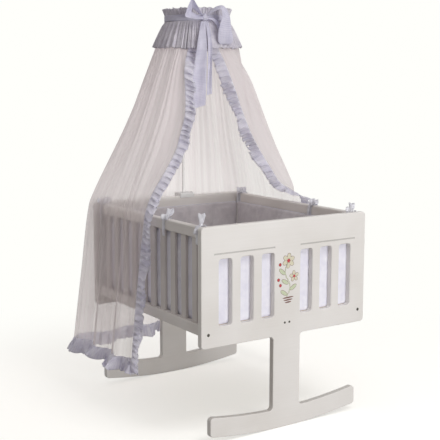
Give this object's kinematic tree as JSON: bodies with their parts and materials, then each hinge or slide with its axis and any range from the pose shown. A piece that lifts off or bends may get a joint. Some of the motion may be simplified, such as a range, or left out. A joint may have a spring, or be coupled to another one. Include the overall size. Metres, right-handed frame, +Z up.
{
  "type": "twin cradle",
  "caption": "White rocking cradle for twins, with barred sides, slotted end boards on rockers, padded bumpers and a net canopy on a clamped pole.",
  "frame": {"origin": "on the floor, under the middle of the outline seen from above", "axes": "+X across the bed to the right seen from the near end board, +Y along the bed towards the board that carries the canopy, +Z up"},
  "size_m": [0.9536, 0.9437, 1.6598],
  "materials": {
    "painted_wood": "warm white satin lacquer on beech and MDF",
    "plywood": "bare birch plywood",
    "bare_beech": "planed beech",
    "zinc_plated_steel": "bright zinc",
    "painted_steel": "white powder coat",
    "white_moulded_plastic": "moulded nylon",
    "dark_moulded_plastic": "moulded nylon",
    "mattress_cover": "plain woven cotton",
    "quilted_cotton": "quilted cotton with a wadding core",
    "white_ribbon": "satin ribbon",
    "sheer_net": "sheer voile",
    "fine_gingham_cotton": "fine woven check",
    "lavender_gingham_ribbon": "fine woven check"
  },
  "bodies": {
    "cradle": {"barrel_nuts": "zinc_plated_steel", "base_board": "plywood", "canopy_clamp": "white_moulded_plastic", "centre_beam": "bare_beech", "centre_screws": "zinc_plated_steel", "corner_bolts": "zinc_plated_steel", "far_bumper": "quilted_cotton", "far_end_board": "painted_wood", "ledger_screws": "zinc_plated_steel", "left_base_ledger": "bare_beech", "left_bottom_rail": "painted_wood", "left_bumper": "quilted_cotton", "left_bumper_ties": "white_ribbon", "left_slat_01": "painted_wood", "left_slat_02": "painted_wood", "left_slat_03": "painted_wood", "left_slat_04": "painted_wood", "left_slat_05": "painted_wood", "left_slat_06": "painted_wood", "left_slat_07": "painted_wood", "left_slat_08": "painted_wood", "left_slat_09": "painted_wood", "left_slat_10": "painted_wood", "left_top_rail": "painted_wood", "mattress": "mattress_cover", "near_bumper": "quilted_cotton", "near_end_board": "painted_wood", "rail_dowels": "bare_beech", "right_base_ledger": "bare_beech", "right_bottom_rail": "painted_wood", "right_bumper": "quilted_cotton", "right_bumper_ties": "white_ribbon", "right_slat_01": "painted_wood", "right_slat_02": "painted_wood", "right_slat_03": "painted_wood", "right_slat_04": "painted_wood", "right_slat_05": "painted_wood", "right_slat_06": "painted_wood", "right_slat_07": "painted_wood", "right_slat_08": "painted_wood", "right_slat_09": "painted_wood", "right_slat_10": "painted_wood", "right_top_rail": "painted_wood"},
    "canopy": {"canopy_pole": "painted_steel", "canopy_ring": "painted_steel", "ring_clip": "white_moulded_plastic", "canopy_net": "sheer_net", "canopy_collar": "fine_gingham_cotton", "collar_ribbon": "lavender_gingham_ribbon", "left_edge_frill": "fine_gingham_cotton", "right_edge_frill": "fine_gingham_cotton", "hem_frill": "fine_gingham_cotton", "bow": "lavender_gingham_ribbon", "bow_long_tail": "lavender_gingham_ribbon", "bow_short_tail": "lavender_gingham_ribbon"},
    "pole_lock_screw": {"pole_lock_screw": "dark_moulded_plastic"},
    "board_clamp_screw": {"board_clamp_screw": "dark_moulded_plastic"}
  },
  "joints": [
    {"name": "canopy_height", "type": "slide", "parent": "cradle", "child": "canopy", "axis": [0, 0, 1], "range_m": [0, 0.12]},
    {"name": "pole_lock_turn", "type": "hinge", "parent": "cradle", "child": "pole_lock_screw", "pos_m": [0.09, 0.407, 0.8133], "axis": [1, 0, 0], "continuous": true},
    {"name": "board_clamp_turn", "type": "hinge", "parent": "cradle", "child": "board_clamp_screw", "pos_m": [0.05, 0.4, 0.7473], "axis": [0, 1, 0], "continuous": true}
  ]
}
